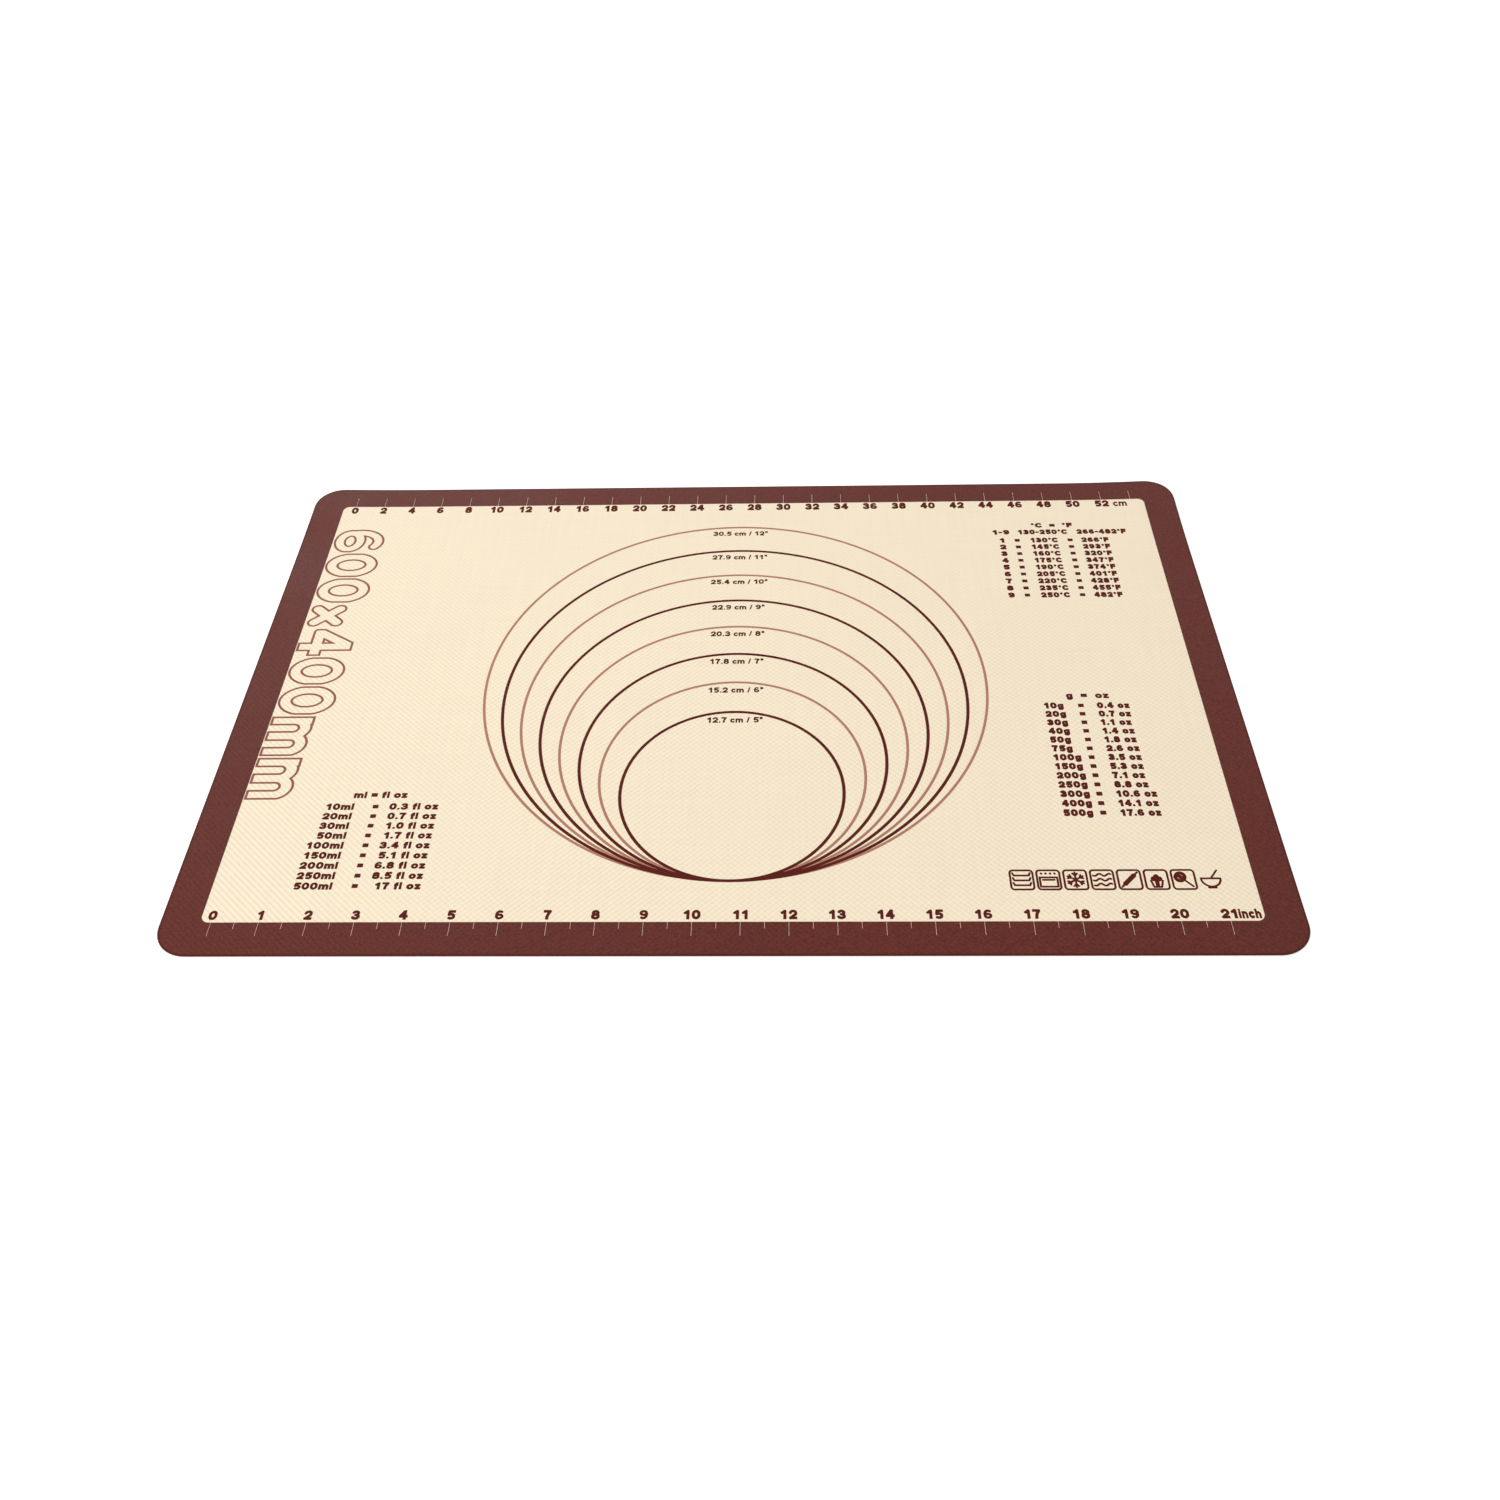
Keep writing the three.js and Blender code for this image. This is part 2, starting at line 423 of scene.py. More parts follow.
def loops_of(field, xs, ys):
    """Closed loops, inside on the left, round the places where a field on a grid is below zero."""
    inside = field < 0
    code = inside[:-1, :-1] + 2 * inside[1:, :-1] + 4 * inside[1:, 1:] + 8 * inside[:-1, 1:]
    following = {}
    for i, j in zip(*np.nonzero(np.isin(code, list(CROSSINGS)))):
        sides = (("x", i, j), ("y", i + 1, j), ("x", i, j + 1), ("y", i, j))
        for enters, leaves in CROSSINGS[int(code[i, j])]:
            following[sides[enters]] = sides[leaves]

    def crossing(side):
        """Where the field is zero along a side of a cell."""
        way, i, j = side
        here = field[i, j]
        if way == "x":
            share = here / (here - field[i + 1, j])
            return xs[i] + share * (xs[i + 1] - xs[i]), ys[j]
        share = here / (here - field[i, j + 1])
        return xs[i], ys[j] + share * (ys[j + 1] - ys[j])

    loops = []
    while following:
        side = next(iter(following))
        loop = []
        while side in following:
            loop.append(crossing(side))
            side = following.pop(side)
        loops.append(np.array(loop))
    return loops


def thinned(points, slack):
    """The points that keep a line within a small distance of where it was."""
    if len(points) < 3:
        return points
    chord = points[-1] - points[0]
    away = points - points[0]
    size = np.hypot(*chord)
    if size > TINY:
        gaps = np.abs(away[:, 0] * chord[1] - away[:, 1] * chord[0]) / size
    else:
        gaps = np.hypot(*away.T)
    worst = int(np.argmax(gaps))
    if gaps[worst] < slack:
        return points[[0, -1]]
    return np.concatenate([thinned(points[: worst + 1], slack)[:-1], thinned(points[worst:], slack)])


def turned_area(loop):
    """Area inside a loop, below zero where it runs clockwise."""
    x, y = loop.T
    return 0.5 * float(np.sum(x * np.roll(y, -1) - y * np.roll(x, -1)))


def holds(loop, point):
    """Whether a loop runs round a point."""
    x, y = loop.T
    x2, y2 = np.roll(x, -1), np.roll(y, -1)
    crossed = (y > point[1]) != (y2 > point[1])
    at = x + (point[1] - y) * (x2 - x) / np.where(y2 == y, 1, y2 - y)
    return bool(np.sum(crossed & (at > point[0])) % 2)


def ink_plan(field, xs, ys, slack):
    """Points and triangles of the ink: the area where a field is below zero, with its holes."""
    loops = [np.append(loop, loop[:1], axis=0) for loop in loops_of(field, xs, ys)]
    loops = [thinned(loop, slack)[:-1] for loop in loops]
    loops = [loop for loop in loops if len(loop) > 2]
    groups = [[loop] for loop in sorted(loops, key=turned_area) if turned_area(loop) > 0]
    for hole in (loop for loop in loops if turned_area(loop) < 0):
        next(group for group in groups if holds(group[0], hole[0])).append(hole)
    points = np.zeros((0, 2))
    faces = []
    for group in groups:
        start = len(points)
        corners = np.concatenate(group)
        for a, b, c in tessellate_polygon([[Vector((*point, 0)) for point in loop] for loop in group]):
            if turned_area(corners[[a, b, c]]) < 0:
                b, c = c, b
            faces.append((a + start, b + start, c + start))
        points = np.r_[points, corners]
    return points, faces


# Characters: strokes in a box one cap height tall, cut off where they leave it; a weight is half their width


def line(*values):
    """Points of a straight stroke or a run of them, from x and y by turns."""
    return np.reshape(values, (-1, 2)).astype(float)


def joined(*strokes):
    """Strokes that follow each other, as one."""
    return np.concatenate(strokes)


def arch(x, y, rx, ry):
    """Half round on a leg, as in an n."""
    return joined(arc(x, y, rx, ry, 180, 0), line(x + rx, -0.3))


class Glyph:
    """A character's width and strokes, the levels where these are cut off, and its share of the weight."""

    def __init__(self, width, *strokes, top=1, bottom=0, share=1):
        self.width = width
        self.strokes = strokes
        self.top = top
        self.bottom = bottom
        self.share = share


DRAWN_WEIGHT = 0.1
X_HEIGHT = 0.73
STEM = line(0.1, -0.3, 0.1, 1.3)
SIX = (arc(0.41, 0.31, 0.29, 0.21), arc(0.44, 0.5, 0.33, 0.4, 58, 195))

GLYPHS = {
    "0": Glyph(0.8, arc(0.4, 0.5, 0.3, 0.4)),
    "1": Glyph(0.7, line(0.45, -0.3, 0.45, 0.9, 0.16, 0.7)),
    "2": Glyph(0.78, joined(arc(0.4, 0.645, 0.28, 0.255, 165, -30), line(0.13, 0.1, 1.2, 0.1))),
    "3": Glyph(0.8, joined(arc(0.39, 0.7, 0.25, 0.2, 155, -90), arc(0.39, 0.305, 0.3, 0.205, 90, -155))),
    "4": Glyph(0.82, line(0.52, 0.95, 0.09, 0.33, 1.2, 0.33), line(0.55, -0.3, 0.55, 1.3)),
    "5": Glyph(0.78, line(1.2, 0.9, 0.22, 0.9, 0.17, 0.53), arc(0.38, 0.335, 0.3, 0.235, 125, -125)),
    "6": Glyph(0.8, *SIX, share=0.9),
    "7": Glyph(0.76, line(-0.3, 0.9, 0.65, 0.9, 0.46, 0.6, 0.36, 0.3, 0.33, -0.3)),
    "8": Glyph(0.8, arc(0.4, 0.715, 0.245, 0.185), arc(0.4, 0.31, 0.295, 0.21)),
    "9": Glyph(0.8, *((0.8, 1) - stroke for stroke in SIX), share=0.9),
    "c": Glyph(0.66, arc(0.37, 0.365, 0.27, 0.265, 55, 305), top=X_HEIGHT),
    "m": Glyph(1.06, STEM, arch(0.315, 0.42, 0.215, 0.21), arch(0.745, 0.42, 0.215, 0.21), top=X_HEIGHT),
    "n": Glyph(0.68, STEM, arch(0.34, 0.4, 0.24, 0.23), top=X_HEIGHT),
    "h": Glyph(0.68, STEM, arch(0.34, 0.4, 0.24, 0.23)),
    "i": Glyph(0.3, line(0.15, -0.3, 0.15, 0.63), line(0.15, 0.9, 0.15, 0.9)),
    "l": Glyph(0.3, line(0.15, -0.3, 0.15, 1.3)),
    "f": Glyph(
        0.48, joined(line(0.2, -0.3), arc(0.4, 0.72, 0.2, 0.18, 180, 90), line(0.9, 0.9)),
        line(-0.3, 0.63, 0.9, 0.63)),
    "o": Glyph(0.76, arc(0.38, 0.365, 0.28, 0.265), top=X_HEIGHT),
    "z": Glyph(0.66, line(-0.3, 0.63, 0.54, 0.63, 0.12, 0.1, 1, 0.1), top=X_HEIGHT),
    "g": Glyph(
        0.74, arc(0.36, 0.365, 0.26, 0.265), joined(line(0.62, 1), arc(0.36, 0, 0.26, 0.2, 0, -140)),
        top=X_HEIGHT, bottom=-0.3),
    "C": Glyph(0.9, arc(0.47, 0.5, 0.37, 0.4, 50, 310)),
    "F": Glyph(0.74, line(0.12, -0.3, 0.12, 1.3), line(0.12, 0.9, 1.2, 0.9), line(0.12, 0.5, 0.62, 0.5)),
    "°": Glyph(0.46, arc(0.23, 0.8, 0.14, 0.13), bottom=0.5, share=0.65),
    "=": Glyph(0.7, line(-0.3, 0.64, 1.2, 0.64), line(-0.3, 0.33, 1.2, 0.33), share=0.95),
    "-": Glyph(0.5, line(-0.3, 0.45, 1.2, 0.45), share=0.9),
    "/": Glyph(0.44, line(0.04, -0.1, 0.4, 1.1), share=0.75),
    ".": Glyph(0.32, line(0.16, 0.1, 0.16, 0.1)),
    "″": Glyph(0.5, line(0.13, 0.7, 0.13, 1.3), line(0.38, 0.7, 0.38, 1.3), share=0.8),
    "×": Glyph(0.74, line(0.15, 0.13, 0.59, 0.57), line(0.15, 0.57, 0.59, 0.13)),
    " ": Glyph(0.34),
}

# Setting of text, in cap heights: the gap between characters, the strip left bare at a character's sides,
# how far its grid reaches past it, and the grid's step and the slack for solid and outlined characters
LETTER_GAP = 0.05
SIDE_CUT = 0.02
GRID_MARGIN = 0.15
GRID_BELOW = 0.45
SOLID_STEP, SOLID_SLACK = 0.02, 0.004
OUTLINE_STEP, OUTLINE_SLACK = 0.008, 0.0015


@functools.cache
def glyph_plan(character, weight, outline):
    """Plan of one character in cap heights: solid, or only its outline of the given line width."""
    glyph = GLYPHS[character]
    room_x = (glyph.width - 2 * weight) / (glyph.width - 2 * DRAWN_WEIGHT)
    room_y = (1 - 2 * weight) / (1 - 2 * DRAWN_WEIGHT)
    strokes = [weight + (stroke - DRAWN_WEIGHT) * (room_x, room_y) for stroke in glyph.strokes]
    top = 2 * weight + (glyph.top - 2 * DRAWN_WEIGHT) * room_y
    bottom = glyph.bottom * room_y
    step = OUTLINE_STEP if outline else SOLID_STEP
    xs = np.arange(-GRID_MARGIN, glyph.width + GRID_MARGIN, step)
    ys = np.arange(-GRID_BELOW, 1 + GRID_MARGIN, step)
    x, y = np.meshgrid(xs, ys, indexing="ij")
    cut = np.maximum.reduce([y - top, bottom - y, SIDE_CUT - x, x - glyph.width + SIDE_CUT])
    field = np.maximum(distance_to(strokes, x, y) - weight * glyph.share, cut)
    if outline:
        field = np.abs(field) - outline / 2
    return ink_plan(field, xs, ys, OUTLINE_SLACK if outline else SOLID_SLACK)


class Print:
    """Ink gathered for one printed piece."""

    def __init__(self):
        self.points = []
        self.faces = []
        self.count = 0

    def add(self, points, faces):
        """Adds a plan, with its faces counted on from those before."""
        self.points.append(points)
        self.faces += [tuple(i + self.count for i in face) for face in faces]
        self.count += len(points)

    def write(self, text, x, y, cap, align="centre", stretch=1.1, weight=0.145, outline=0, down=False):
        """Sets a line of text: x by its alignment, y at the capitals' middle, or reading down the mat."""
        plans = []
        pen = 0
        for character in text:
            points, faces = glyph_plan(character, weight, outline / cap)
            plans.append((points + (pen, 0), faces))
            pen += GLYPHS[character].width + LETTER_GAP
        places = np.concatenate([points[:, 0] for points, _ in plans])
        low, high = places.min(), places.max()
        shift = {"left": low, "right": high, "centre": (low + high) / 2}[align]
        for points, faces in plans:
            along = (points[:, 0] - shift) * cap * stretch
            up = (points[:, 1] - 0.5) * cap
            self.add(np.c_[x + up, y - along] if down else np.c_[x + along, y + up], faces)

    def mesh(self, name):
        low = layer("top_coat")[1]
        return film(name, (np.concatenate(self.points), self.faces), (low, low + INK))


# Figures and tables; the tables' rows are worked out from round values, in ml and g to an ounce

FLUID_OUNCE = 29.574
OUNCE = 28.35
TABLE_LOOK = {"cap": 5.1, "weight": 0.16}


def inch_ruler():
    figures = Print()
    y, cap = -174, 6.2
    for inch in range(INCHES + 1):
        figures.write(str(inch), INCH_ZERO + inch * INCH, y, cap, stretch=0.97, weight=0.14)
    figures.write("inch", x=271.2, y=y, cap=cap, stretch=0.77, weight=0.135)
    return figures.mesh("inch_figures")


def centimetre_ruler():
    """Figures at all ticks but the last, which the unit takes."""
    figures = Print()
    y = 175.9
    for i in range(CM_TICKS - 1):
        figures.write(str(i * CM_STEP // CM), CM_ZERO + i * CM_STEP, y, cap=7, stretch=0.87, weight=0.145)
    figures.write("cm", x=262, y=y, cap=6.6, stretch=0.82, weight=0.115)
    return figures.mesh("centimetre_figures")


def ring_labels():
    """Each ring's size, inside its line at the back."""
    labels = Print()
    inside = 6.6
    for inches in range(SMALLEST_RING, LARGEST_RING + 1):
        y = TOUCH_Y + inches * INCH - inside
        text = f"{inches * INCH / CM:.1f} cm / {inches}″"
        labels.write(text, x=0.5, y=y, cap=4.6, stretch=0.96, weight=0.125)
    return labels.mesh("ring_size_labels")


def volume_table():
    table = Print()
    first_row, row_step, cap = -98.2, 7.06, 4.9
    table.write("ml = fl oz", x=-200, y=-89.4, cap=cap)
    for i, millilitres in enumerate((10, 20, 30, 50, 100, 150, 200, 250, 500)):
        y = first_row - row_step * i
        ounces = millilitres / FLUID_OUNCE
        decimals = 1 if ounces < 10 else 0
        table.write(f"{millilitres}ml", x=-213.6, y=y, cap=cap, align="right")
        table.write("=", x=-201.3, y=y, cap=cap, stretch=1)
        table.write(f"{ounces:.{decimals}f} fl oz", x=-165.6, y=y, cap=cap, align="right")
    return table.mesh("volume_table")


def weight_table():
    table = Print()
    first_row, row_step = -20.7, 7
    table.write("g  =  oz", x=211.5, y=-12.2, cap=TABLE_LOOK["cap"])
    for i, grams in enumerate((10, 20, 30, 40, 50, 75, 100, 150, 200, 250, 300, 400, 500)):
        y = first_row - row_step * i
        table.write(f"{grams}g", x=184.6, y=y, align="left", stretch=1, **TABLE_LOOK)
        table.write("=", x=206.5, y=y, stretch=1, **TABLE_LOOK)
        table.write(f"{grams / OUNCE:.1f} oz", x=216, y=y, align="left", stretch=0.96, **TABLE_LOOK)
    return table.mesh("weight_table")


def temperature_table():
    table = Print()
    first_row, row_step, heading, span = 136.4, 7.05, 152.4, 145.2
    celsius = range(130, 251, 15)
    fahrenheit = [degrees * 9 // 5 + 32 for degrees in celsius]
    table.write("°C  =  °F", x=212, y=heading, **TABLE_LOOK)
    table.write(f"1-{len(celsius)}", x=177, y=span, **TABLE_LOOK)
    table.write(f"{celsius[0]}-{celsius[-1]}°C", x=205, y=span, stretch=0.95, **TABLE_LOOK)
    table.write(f"{fahrenheit[0]}-{fahrenheit[-1]}°F", x=244.5, y=span, stretch=0.95, **TABLE_LOOK)
    for i in range(len(celsius)):
        y = first_row - row_step * i
        table.write(str(i + 1), x=176.8, y=y, **TABLE_LOOK)
        table.write("=", x=187, y=y, stretch=1, **TABLE_LOOK)
        table.write(f"{celsius[i]}°C", x=205, y=y, stretch=0.95, **TABLE_LOOK)
        table.write("=", x=222.4, y=y, stretch=1, **TABLE_LOOK)
        table.write(f"{fahrenheit[i]}°F", x=239, y=y, stretch=0.95, **TABLE_LOOK)
    return table.mesh("temperature_table")


def outlined_size():
    """The mat's own size in large outlined figures that read down the left side."""
    figures = Print()
    figures.write("600×400mm", x=-260.5, y=31, cap=34, stretch=0.9, weight=0.11, outline=1.5, down=True)
    return figures.mesh("outlined_size")


# Small kitchen signs in a unit square: each gives its thin strokes, and thick ones with half their width

SIGN_LENGTH, SIGN_WIDTH = 12.9, 13.6
SIGN_X, SIGN_Y = 149.6, -158.4
SIGN_STEP = 14.25
SIGN_HALF_LINE = 0.045
SIGN_SLACK = 0.002
SIGN_GRID = np.linspace(-0.05, 1.05, 141)

# Rounded square round a sign, and how much larger a sign is drawn in it
FRAME_STRAIGHT = 0.34
FRAME_RADIUS = 0.13
FRAMED_GROWTH = 1.2


def tray_sign():
    trays = []
    for level in (0.28, 0.48, 0.68):
        rim_level = level + 0.1
        trays.append(line(0.2, rim_level, 0.24, level, 0.76, level, 0.8, rim_level))
    return trays, []


def oven_sign():
    box = line(0.2, 0.22, 0.8, 0.22, 0.8, 0.6, 0.2, 0.6, 0.2, 0.22)
    handle = line(0.3, 0.5, 0.7, 0.5)
    knobs = [line(x, 0.76, x, 0.76) for x in (0.27, 0.42, 0.58, 0.73)]
    return [box, handle], [(knobs, 0.045)]


def flake_sign():
    middle = np.array((0.5, 0.5))
    strokes = []
    for degrees in range(30, 360, 60):
        turn = math.radians(degrees)
        out = np.array((math.cos(turn), math.sin(turn)))
        side = np.array((-out[1], out[0]))
        joint = middle + 0.17 * out
        tip = middle + 0.26 * out
        strokes.append(np.array([middle, middle + 0.3 * out]))
        strokes.append(np.array([tip + 0.08 * side, joint, tip - 0.08 * side]))
    return strokes, []


def wave_sign():
    x = np.linspace(0.2, 0.8, 25)
    return [np.c_[x, level + 0.045 * np.sin(x * 6 * math.pi)] for level in (0.3, 0.5, 0.7)], []


def rolling_pin_sign():
    handles = line(0.2, 0.2, 0.8, 0.8)
    roller = line(0.33, 0.33, 0.67, 0.67)
    return [handles], [([roller], 0.085)]


def small_cake_sign():
    case = line(0.3, 0.45, 0.37, 0.2, 0.63, 0.2, 0.7, 0.45)
    folds = [line(0.46, 0.45, 0.47, 0.2), line(0.54, 0.45, 0.53, 0.2)]
    crown = [line(0.4, 0.53, 0.6, 0.53), line(0.5, 0.62, 0.5, 0.62)]
    return [case, *folds], [(crown, 0.1)]


def whisk_sign():
    strokes = [line(0.78, 0.22, 0.52, 0.48)]
    turn = np.radians(np.linspace(0, 360, 31))
    along = 0.18 - 0.18 * np.cos(turn)
    for bulge in (0.04, 0.13, 0.2):
        off = bulge * np.sin(turn)
        strokes.append(np.c_[0.52 - (along + off) * 0.7, 0.48 + (along - off) * 0.7])
    return strokes, []


def bowl_sign():
    bowl = joined(line(0.1, 0.55), arc(0.5, 0.55, 0.4, 0.4, 180, 360), line(0.1, 0.55))
    foot = line(0.35, 0.1, 0.65, 0.1)
    spoon = line(0.55, 0.6, 0.82, 0.95)
    return [bowl, foot], [([spoon], 0.04)]


def frame_distance(x, y):
    """Distance to the rounded square, below zero inside it."""
    past_x = np.abs(x - 0.5) - FRAME_STRAIGHT
    past_y = np.abs(y - 0.5) - FRAME_STRAIGHT
    outside = np.hypot(np.maximum(past_x, 0), np.maximum(past_y, 0)) - FRAME_RADIUS
    return outside + np.minimum(np.maximum(past_x, past_y), 0)


def sign_plan(strokes, thick_strokes, framed):
    """Plan of a sign in its unit square."""
    growth = FRAMED_GROWTH if framed else 1
    x, y = np.meshgrid(SIGN_GRID, SIGN_GRID, indexing="ij")

    def grown(drawn):
        return [0.5 + growth * (stroke - 0.5) for stroke in drawn]

    field = distance_to(grown(strokes), x, y) - SIGN_HALF_LINE
    for drawn, half_width in thick_strokes:
        field = np.minimum(field, distance_to(grown(drawn), x, y) - growth * half_width)
    if framed:
        field = np.minimum(field, np.abs(frame_distance(x, y)) - SIGN_HALF_LINE)
    return ink_plan(field, SIGN_GRID, SIGN_GRID, SIGN_SLACK)


def kitchen_signs():
    """A row of signs, all framed but the last."""
    framed = (tray_sign, oven_sign, flake_sign, wave_sign, rolling_pin_sign, small_cake_sign, whisk_sign)
    signs = Print()
    for i, sign in enumerate((*framed, bowl_sign)):
        points, faces = sign_plan(*sign(), sign in framed)
        signs.add(points * (SIGN_LENGTH, SIGN_WIDTH) + (SIGN_X + SIGN_STEP * i, SIGN_Y), faces)
    return signs.mesh("kitchen_signs")


# Materials


def new_material(name):
    """A material, its node tree and its shader."""
    made = bpy.data.materials.new(name)
    made.use_nodes = True
    return made, made.node_tree, made.node_tree.nodes["Principled BSDF"]


def object_place(tree):
    """A point's place on its object, in metres."""
    return tree.nodes.new("ShaderNodeTexCoord").outputs["Object"]


def maths(tree, operation, *values):
    """A result worked out from numbers and outputs of other nodes."""
    node = tree.nodes.new("ShaderNodeMath")
    node.operation = operation
    for socket, value in zip(node.inputs, values):
        if isinstance(value, bpy.types.NodeSocket):
            tree.links.new(value, socket)
        else:
            socket.default_value = value
    return node.outputs[0]


def ranged(tree, value, span, new_span, smooth=False):
    """A value moved from one span to another, and kept inside it."""
    node = tree.nodes.new("ShaderNodeMapRange")
    node.interpolation_type = "SMOOTHSTEP" if smooth else "LINEAR"
    tree.links.new(value, node.inputs["Value"])
    for name, number in zip(("From Min", "From Max", "To Min", "To Max"), (*span, *new_span)):
        node.inputs[name].default_value = number
    return node.outputs["Result"]


def noise(tree, place, scale, detail, stretch=(1, 1, 1)):
    """Soft noise from nought to one."""
    fitted = tree.nodes.new("ShaderNodeMapping")
    fitted.inputs["Scale"].default_value = stretch
    tree.links.new(place, fitted.inputs["Vector"])
    node = tree.nodes.new("ShaderNodeTexNoise")
    node.inputs["Scale"].default_value = scale
    node.inputs["Detail"].default_value = detail
    tree.links.new(fitted.outputs["Vector"], node.inputs["Vector"])
    return node.outputs["Fac"]


def mixed(tree, factor, first, second):
    """A colour between two, from the first at a factor of nought to the second at one."""
    node = tree.nodes.new("ShaderNodeMix")
    node.data_type = "RGBA"
    node.inputs["A"].default_value = (*first, 1)
    node.inputs["B"].default_value = (*second, 1)
    tree.links.new(factor, node.inputs["Factor"])
    return node.outputs["Result"]


def seen_rays(tree):
    """One for rays that show how a surface looks, straight, mirrored or through glass, else nought."""
    path = tree.nodes.new("ShaderNodeLightPath").outputs
    seen = maths(tree, "ADD", path["Is Camera Ray"], path["Is Glossy Ray"])
    return maths(tree, "MINIMUM", maths(tree, "ADD", seen, path["Is Transmission Ray"]), 1)


# Cloth: the distance between yarns along the length and along the width
YARN_X = 1.87
YARN_Y = 1.80

# Which of the two hatches leads, by parts of the length in metres: 1 is the falling one, 0 the rising one
LEFT_PART, LEFT_LEAN = (-0.26, -0.09), (0.92, 0.25)
RIGHT_PART, RIGHT_LEAN = (-0.09, 0.12), (0, 0.38)

# How strongly the hatch shows: by its lean on the left, and by parts of the width in metres
PLAIN_SHOW = 0.9
LEAN_SHOW = 0.4
BACK_PART, BACK_FADE = (-0.02, 0.17), (1.05, 0.4)

# Coat: scales of its clouds, its grain and the yarns' unevenness, and the part of each noise's range in use
CLOUD_SCALE = 14
GRAIN_SCALE = 850
SLUB_ACROSS, SLUB_ALONG = 540, 16
NOISE_SPAN = (0.3, 0.7)
TWO_NOISES_SPAN = (0.7, 1.3)

# The yarns' unevenness as a share of the hatch, swings of the roughness, and the weave's relief in metres
SLUB_SHARE = 0.3
CLOUD_GLOSS = 0.05
YARN_GLOSS = 0.03
RELIEF = 0.00004


def weave(tree, place):
    """Plain weave, about -1 to 1: diagonal hatches of its crossings, their lead and strength set by place.
    """
    split = tree.nodes.new("ShaderNodeSeparateXYZ")
    tree.links.new(place, split.inputs[0])
    x, y = split.outputs["X"], split.outputs["Y"]
    u = maths(tree, "MULTIPLY", x, math.pi / (YARN_X * MM))
    v = maths(tree, "MULTIPLY", y, math.pi / (YARN_Y * MM))
    falling = maths(tree, "COSINE", maths(tree, "ADD", u, v))
    rising = maths(tree, "COSINE", maths(tree, "SUBTRACT", u, v))
    left = ranged(tree, x, LEFT_PART, LEFT_LEAN, smooth=True)
    right = ranged(tree, x, RIGHT_PART, RIGHT_LEAN, smooth=True)
    lean = maths(tree, "ADD", left, right)
    both = maths(tree, "MULTIPLY", lean, maths(tree, "ADD", falling, rising))
    hatch = maths(tree, "SUBTRACT", both, rising)
    bare = maths(tree, "MULTIPLY_ADD", left, LEAN_SHOW, PLAIN_SHOW)
    fade = ranged(tree, y, BACK_PART, BACK_FADE, smooth=True)
    return maths(tree, "MULTIPLY", hatch, maths(tree, "MULTIPLY", bare, fade))


def uneven_yarns(tree, place):
    """Streaks along the yarns of both ways."""
    crosswise = noise(tree, place, scale=1, detail=2, stretch=(SLUB_ACROSS, SLUB_ALONG, SLUB_ALONG))
    lengthwise = noise(tree, place, scale=1, detail=2, stretch=(SLUB_ALONG, SLUB_ACROSS, SLUB_ALONG))
    return maths(tree, "ADD", crosswise, lengthwise)


def coated_cloth(name, colour, hatch, mottle, grain, roughness, bump, specular):
    """Silicone over woven glass: the weave shows in colour, gloss and relief, and the coat is uneven.

    Hatch, mottle and grain are the shares by which weave, clouds and grain change the colour.
    """
    made, tree, shader = new_material(name)
    place = object_place(tree)
    yarns = weave(tree, place)
    clouds = noise(tree, place, CLOUD_SCALE, detail=3)
    grains = noise(tree, place, GRAIN_SCALE, detail=3)
    slubs = uneven_yarns(tree, place)
    slub = SLUB_SHARE * hatch
    level = maths(tree, "MULTIPLY", yarns, hatch)
    level = maths(tree, "ADD", level, ranged(tree, clouds, NOISE_SPAN, (-mottle, mottle)))
    level = maths(tree, "ADD", level, ranged(tree, grains, NOISE_SPAN, (-grain, grain)))
    level = maths(tree, "ADD", level, ranged(tree, slubs, TWO_NOISES_SPAN, (-slub, slub)))
    swing = hatch + slub + mottle + grain
    darkest = [c - c * swing for c in colour]
    lightest = [c + c * swing for c in colour]
    tint = mixed(tree, ranged(tree, level, (-swing, swing), (0, 1)), darkest, lightest)
    tree.links.new(tint, shader.inputs["Base Color"])

    gloss = ranged(tree, clouds, NOISE_SPAN, (roughness - CLOUD_GLOSS, roughness + CLOUD_GLOSS))
    tree.links.new(maths(tree, "MULTIPLY_ADD", yarns, YARN_GLOSS, gloss), shader.inputs["Roughness"])
    shader.inputs["Specular IOR Level"].default_value = specular

    relief = tree.nodes.new("ShaderNodeBump")
    relief.inputs["Strength"].default_value = bump
    relief.inputs["Distance"].default_value = RELIEF
    tree.links.new(yarns, relief.inputs["Height"])
    tree.links.new(relief.outputs["Normal"], shader.inputs["Normal"])
    return made


def printed_ink(name, colour):
    return coated_cloth(
        name, colour, hatch=0.05, mottle=0.03, grain=0.03, roughness=0.6, bump=0.25, specular=0.05)


cream = coated_cloth(
    "cream_silicone", (0.935, 0.807, 0.61),
    hatch=0.058, mottle=0.008, grain=0.008, roughness=0.6, bump=0.3, specular=0.1)
underside = coated_cloth(
    "cream_underside", (0.88, 0.77, 0.58),
    hatch=0.06, mottle=0.012, grain=0.012, roughness=0.75, bump=0.4, specular=0.25)
glass = coated_cloth(
    "glass_weave", (0.83, 0.78, 0.67),
    hatch=0.12, mottle=0.02, grain=0.02, roughness=0.45, bump=1.0, specular=0.5)
brown = coated_cloth(
    "brown_silicone", (0.112, 0.0198, 0.0127),
    hatch=0.1, mottle=0.05, grain=0.3, roughness=0.5, bump=0.3, specular=0.125)
brown_seal = coated_cloth(
    "brown_seal", (0.095, 0.0165, 0.011),
    hatch=0.03, mottle=0.03, grain=0.05, roughness=0.45, bump=0.2, specular=0.06)
dark_ink = printed_ink("dark_ink", (0.1, 0.0125, 0.0077))
